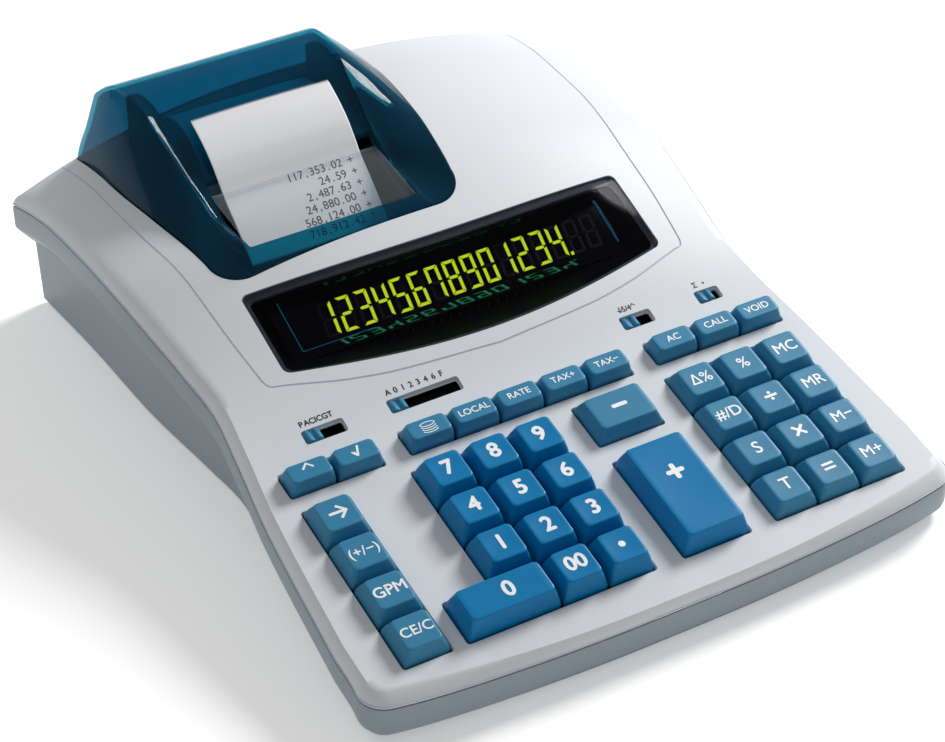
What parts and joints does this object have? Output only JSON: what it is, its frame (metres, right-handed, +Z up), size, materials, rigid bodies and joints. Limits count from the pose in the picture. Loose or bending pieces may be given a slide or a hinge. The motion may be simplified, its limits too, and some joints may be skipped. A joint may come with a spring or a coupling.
{
  "type": "desk printing calculator",
  "caption": "Desk printing calculator with a sloping keyboard, a wide dark display window and a smoked, hinged cover over its roll-paper printer.",
  "frame": {"origin": "on the desk under the middle of the case", "axes": "+Y from the front edge to the rear face, the longest way; +X to the right of the person typing; +Z up, the shortest way"},
  "size_m": [0.2414, 0.2944, 0.1018],
  "materials": {
    "case_white": "fine satin texture",
    "base_grey": "fine satin texture",
    "figure_key_blue": "moulded, semi-gloss",
    "function_key_blue": "moulded, satin",
    "smoked_blue": "see-through smoked blue, polished",
    "display_smoke": "dark smoked, polished",
    "tube_glass": "clear over a dark ground",
    "clear_plastic": "clear, polished",
    "paper": "plain paper",
    "rubber": "matt",
    "black_plastic": "satin",
    "board_green": "printed board",
    "steel": "plain sheet",
    "ink_felt": "inked felt"
  },
  "bodies": {
    "case": {"top_case": "case_white", "bottom_case": "base_grey", "display_lens": "display_smoke", "display_tube": "tube_glass", "key_plate": "black_plastic", "circuit_board": "board_green", "power_transformer": "steel", "power_inlet": "black_plastic", "front_foot_strip": "rubber", "printer_frame": "steel"},
    "cover": {"printer_cover": "smoked_blue", "tear_bar": "clear_plastic", "paper_strip": "paper"},
    "roll": {"paper_roll": "paper"},
    "platen": {"platen_roller": "rubber"},
    "ink": {"ink_roller": "ink_felt"},
    "switch_print": {"slider_print": "function_key_blue"},
    "switch_decimal": {"slider_decimal": "function_key_blue"},
    "switch_rounding": {"slider_rounding": "function_key_blue"},
    "switch_total": {"slider_total": "function_key_blue"},
    "key_0_body": {"key_0": "figure_key_blue"},
    "key_00_body": {"key_00": "figure_key_blue"},
    "key_1_body": {"key_1": "figure_key_blue"},
    "key_2_body": {"key_2": "figure_key_blue"},
    "key_3_body": {"key_3": "figure_key_blue"},
    "key_4_body": {"key_4": "figure_key_blue"},
    "key_5_body": {"key_5": "figure_key_blue"},
    "key_6_body": {"key_6": "figure_key_blue"},
    "key_7_body": {"key_7": "figure_key_blue"},
    "key_8_body": {"key_8": "figure_key_blue"},
    "key_9_body": {"key_9": "figure_key_blue"},
    "key_all_clear_body": {"key_all_clear": "function_key_blue"},
    "key_backspace_body": {"key_backspace": "function_key_blue"},
    "key_call_body": {"key_call": "function_key_blue"},
    "key_clear_body": {"key_clear": "function_key_blue"},
    "key_coins_body": {"key_coins": "function_key_blue"},
    "key_date_body": {"key_date": "function_key_blue"},
    "key_delta_percent_body": {"key_delta_percent": "function_key_blue"},
    "key_divide_body": {"key_divide": "function_key_blue"},
    "key_equals_body": {"key_equals": "function_key_blue"},
    "key_gpm_body": {"key_gpm": "function_key_blue"},
    "key_local_body": {"key_local": "function_key_blue"},
    "key_memory_clear_body": {"key_memory_clear": "function_key_blue"},
    "key_memory_minus_body": {"key_memory_minus": "function_key_blue"},
    "key_memory_plus_body": {"key_memory_plus": "function_key_blue"},
    "key_memory_recall_body": {"key_memory_recall": "function_key_blue"},
    "key_minus_body": {"key_minus": "function_key_blue"},
    "key_paper_feed_body": {"key_paper_feed": "function_key_blue"},
    "key_percent_body": {"key_percent": "function_key_blue"},
    "key_plus_body": {"key_plus": "figure_key_blue"},
    "key_point_body": {"key_point": "figure_key_blue"},
    "key_rate_body": {"key_rate": "function_key_blue"},
    "key_root_body": {"key_root": "function_key_blue"},
    "key_sign_change_body": {"key_sign_change": "function_key_blue"},
    "key_subtotal_s_body": {"key_subtotal_s": "function_key_blue"},
    "key_subtotal_t_body": {"key_subtotal_t": "function_key_blue"},
    "key_tax_minus_body": {"key_tax_minus": "function_key_blue"},
    "key_tax_plus_body": {"key_tax_plus": "function_key_blue"},
    "key_times_body": {"key_times": "function_key_blue"},
    "key_void_body": {"key_void": "function_key_blue"}
  },
  "joints": [
    {"name": "cover_hinge", "type": "hinge", "parent": "case", "child": "cover", "pos_m": [0, 0.14415, 0.0765], "axis": [-1, 0, 0], "range_deg": [0, 70]},
    {"name": "roll_turn", "type": "hinge", "parent": "case", "child": "roll", "pos_m": [-0.034, 0.11275, 0.064], "axis": [-1, 0, 0], "continuous": true},
    {"name": "platen_turn", "type": "hinge", "parent": "case", "child": "platen", "pos_m": [-0.034, 0.05675, 0.048], "axis": [-1, 0, 0], "continuous": true},
    {"name": "ink_turn", "type": "hinge", "parent": "case", "child": "ink", "pos_m": [-0.034, 0.04425, 0.048], "axis": [-1, 0, 0], "continuous": true},
    {"name": "slider_print_slide", "type": "slide", "parent": "case", "child": "switch_print", "axis": [1, 0, 0], "range_m": [0, 0.009]},
    {"name": "slider_decimal_slide", "type": "slide", "parent": "case", "child": "switch_decimal", "axis": [1, 0, 0], "range_m": [0, 0.0218]},
    {"name": "slider_rounding_slide", "type": "slide", "parent": "case", "child": "switch_rounding", "axis": [1, 0, 0], "range_m": [0, 0.0059]},
    {"name": "slider_total_slide", "type": "slide", "parent": "case", "child": "switch_total", "axis": [1, 0, 0], "range_m": [0, 0.0029]},
    {"name": "key_0_press", "type": "slide", "parent": "case", "child": "key_0_body", "axis": [0, 0.1908, -0.9816], "range_m": [0, 0.0028], "stiffness_N_per_m": 220, "springref_m": -0.0012},
    {"name": "key_00_press", "type": "slide", "parent": "case", "child": "key_00_body", "axis": [0, 0.1908, -0.9816], "range_m": [0, 0.0028], "stiffness_N_per_m": 220, "springref_m": -0.0012},
    {"name": "key_1_press", "type": "slide", "parent": "case", "child": "key_1_body", "axis": [0, 0.1908, -0.9816], "range_m": [0, 0.0028], "stiffness_N_per_m": 220, "springref_m": -0.0012},
    {"name": "key_2_press", "type": "slide", "parent": "case", "child": "key_2_body", "axis": [0, 0.1908, -0.9816], "range_m": [0, 0.0028], "stiffness_N_per_m": 220, "springref_m": -0.0012},
    {"name": "key_3_press", "type": "slide", "parent": "case", "child": "key_3_body", "axis": [0, 0.1908, -0.9816], "range_m": [0, 0.0028], "stiffness_N_per_m": 220, "springref_m": -0.0012},
    {"name": "key_4_press", "type": "slide", "parent": "case", "child": "key_4_body", "axis": [0, 0.1908, -0.9816], "range_m": [0, 0.0028], "stiffness_N_per_m": 220, "springref_m": -0.0012},
    {"name": "key_5_press", "type": "slide", "parent": "case", "child": "key_5_body", "axis": [0, 0.1908, -0.9816], "range_m": [0, 0.0028], "stiffness_N_per_m": 220, "springref_m": -0.0012},
    {"name": "key_6_press", "type": "slide", "parent": "case", "child": "key_6_body", "axis": [0, 0.1908, -0.9816], "range_m": [0, 0.0028], "stiffness_N_per_m": 220, "springref_m": -0.0012},
    {"name": "key_7_press", "type": "slide", "parent": "case", "child": "key_7_body", "axis": [0, 0.1908, -0.9816], "range_m": [0, 0.0028], "stiffness_N_per_m": 220, "springref_m": -0.0012},
    {"name": "key_8_press", "type": "slide", "parent": "case", "child": "key_8_body", "axis": [0, 0.1908, -0.9816], "range_m": [0, 0.0028], "stiffness_N_per_m": 220, "springref_m": -0.0012},
    {"name": "key_9_press", "type": "slide", "parent": "case", "child": "key_9_body", "axis": [0, 0.1908, -0.9816], "range_m": [0, 0.0028], "stiffness_N_per_m": 220, "springref_m": -0.0012},
    {"name": "key_all_clear_press", "type": "slide", "parent": "case", "child": "key_all_clear_body", "axis": [0, 0.1908, -0.9816], "range_m": [0, 0.0028], "stiffness_N_per_m": 220, "springref_m": -0.0012},
    {"name": "key_backspace_press", "type": "slide", "parent": "case", "child": "key_backspace_body", "axis": [0, 0.1908, -0.9816], "range_m": [0, 0.0028], "stiffness_N_per_m": 220, "springref_m": -0.0012},
    {"name": "key_call_press", "type": "slide", "parent": "case", "child": "key_call_body", "axis": [0, 0.1908, -0.9816], "range_m": [0, 0.0028], "stiffness_N_per_m": 220, "springref_m": -0.0012},
    {"name": "key_clear_press", "type": "slide", "parent": "case", "child": "key_clear_body", "axis": [0, 0.1908, -0.9816], "range_m": [0, 0.0028], "stiffness_N_per_m": 220, "springref_m": -0.0012},
    {"name": "key_coins_press", "type": "slide", "parent": "case", "child": "key_coins_body", "axis": [0, 0.1908, -0.9816], "range_m": [0, 0.0028], "stiffness_N_per_m": 220, "springref_m": -0.0012},
    {"name": "key_date_press", "type": "slide", "parent": "case", "child": "key_date_body", "axis": [0, 0.1908, -0.9816], "range_m": [0, 0.0028], "stiffness_N_per_m": 220, "springref_m": -0.0012},
    {"name": "key_delta_percent_press", "type": "slide", "parent": "case", "child": "key_delta_percent_body", "axis": [0, 0.1908, -0.9816], "range_m": [0, 0.0028], "stiffness_N_per_m": 220, "springref_m": -0.0012},
    {"name": "key_divide_press", "type": "slide", "parent": "case", "child": "key_divide_body", "axis": [0, 0.1908, -0.9816], "range_m": [0, 0.0028], "stiffness_N_per_m": 220, "springref_m": -0.0012},
    {"name": "key_equals_press", "type": "slide", "parent": "case", "child": "key_equals_body", "axis": [0, 0.1908, -0.9816], "range_m": [0, 0.0028], "stiffness_N_per_m": 220, "springref_m": -0.0012},
    {"name": "key_gpm_press", "type": "slide", "parent": "case", "child": "key_gpm_body", "axis": [0, 0.1908, -0.9816], "range_m": [0, 0.0028], "stiffness_N_per_m": 220, "springref_m": -0.0012},
    {"name": "key_local_press", "type": "slide", "parent": "case", "child": "key_local_body", "axis": [0, 0.1908, -0.9816], "range_m": [0, 0.0028], "stiffness_N_per_m": 220, "springref_m": -0.0012},
    {"name": "key_memory_clear_press", "type": "slide", "parent": "case", "child": "key_memory_clear_body", "axis": [0, 0.1908, -0.9816], "range_m": [0, 0.0028], "stiffness_N_per_m": 220, "springref_m": -0.0012},
    {"name": "key_memory_minus_press", "type": "slide", "parent": "case", "child": "key_memory_minus_body", "axis": [0, 0.1908, -0.9816], "range_m": [0, 0.0028], "stiffness_N_per_m": 220, "springref_m": -0.0012},
    {"name": "key_memory_plus_press", "type": "slide", "parent": "case", "child": "key_memory_plus_body", "axis": [0, 0.1908, -0.9816], "range_m": [0, 0.0028], "stiffness_N_per_m": 220, "springref_m": -0.0012},
    {"name": "key_memory_recall_press", "type": "slide", "parent": "case", "child": "key_memory_recall_body", "axis": [0, 0.1908, -0.9816], "range_m": [0, 0.0028], "stiffness_N_per_m": 220, "springref_m": -0.0012},
    {"name": "key_minus_press", "type": "slide", "parent": "case", "child": "key_minus_body", "axis": [0, 0.1908, -0.9816], "range_m": [0, 0.0028], "stiffness_N_per_m": 220, "springref_m": -0.0012},
    {"name": "key_paper_feed_press", "type": "slide", "parent": "case", "child": "key_paper_feed_body", "axis": [0, 0.1908, -0.9816], "range_m": [0, 0.0028], "stiffness_N_per_m": 220, "springref_m": -0.0012},
    {"name": "key_percent_press", "type": "slide", "parent": "case", "child": "key_percent_body", "axis": [0, 0.1908, -0.9816], "range_m": [0, 0.0028], "stiffness_N_per_m": 220, "springref_m": -0.0012},
    {"name": "key_plus_press", "type": "slide", "parent": "case", "child": "key_plus_body", "axis": [0, 0.1908, -0.9816], "range_m": [0, 0.0028], "stiffness_N_per_m": 300, "springref_m": -0.0012},
    {"name": "key_point_press", "type": "slide", "parent": "case", "child": "key_point_body", "axis": [0, 0.1908, -0.9816], "range_m": [0, 0.0028], "stiffness_N_per_m": 220, "springref_m": -0.0012},
    {"name": "key_rate_press", "type": "slide", "parent": "case", "child": "key_rate_body", "axis": [0, 0.1908, -0.9816], "range_m": [0, 0.0028], "stiffness_N_per_m": 220, "springref_m": -0.0012},
    {"name": "key_root_press", "type": "slide", "parent": "case", "child": "key_root_body", "axis": [0, 0.1908, -0.9816], "range_m": [0, 0.0028], "stiffness_N_per_m": 220, "springref_m": -0.0012},
    {"name": "key_sign_change_press", "type": "slide", "parent": "case", "child": "key_sign_change_body", "axis": [0, 0.1908, -0.9816], "range_m": [0, 0.0028], "stiffness_N_per_m": 220, "springref_m": -0.0012},
    {"name": "key_subtotal_s_press", "type": "slide", "parent": "case", "child": "key_subtotal_s_body", "axis": [0, 0.1908, -0.9816], "range_m": [0, 0.0028], "stiffness_N_per_m": 220, "springref_m": -0.0012},
    {"name": "key_subtotal_t_press", "type": "slide", "parent": "case", "child": "key_subtotal_t_body", "axis": [0, 0.1908, -0.9816], "range_m": [0, 0.0028], "stiffness_N_per_m": 220, "springref_m": -0.0012},
    {"name": "key_tax_minus_press", "type": "slide", "parent": "case", "child": "key_tax_minus_body", "axis": [0, 0.1908, -0.9816], "range_m": [0, 0.0028], "stiffness_N_per_m": 220, "springref_m": -0.0012},
    {"name": "key_tax_plus_press", "type": "slide", "parent": "case", "child": "key_tax_plus_body", "axis": [0, 0.1908, -0.9816], "range_m": [0, 0.0028], "stiffness_N_per_m": 220, "springref_m": -0.0012},
    {"name": "key_times_press", "type": "slide", "parent": "case", "child": "key_times_body", "axis": [0, 0.1908, -0.9816], "range_m": [0, 0.0028], "stiffness_N_per_m": 220, "springref_m": -0.0012},
    {"name": "key_void_press", "type": "slide", "parent": "case", "child": "key_void_body", "axis": [0, 0.1908, -0.9816], "range_m": [0, 0.0028], "stiffness_N_per_m": 220, "springref_m": -0.0012}
  ],
  "couplings": [
    {"joint": "platen_turn", "follows": "roll_turn", "ratio": 3.2143},
    {"joint": "ink_turn", "follows": "roll_turn", "ratio": -4.5}
  ]
}
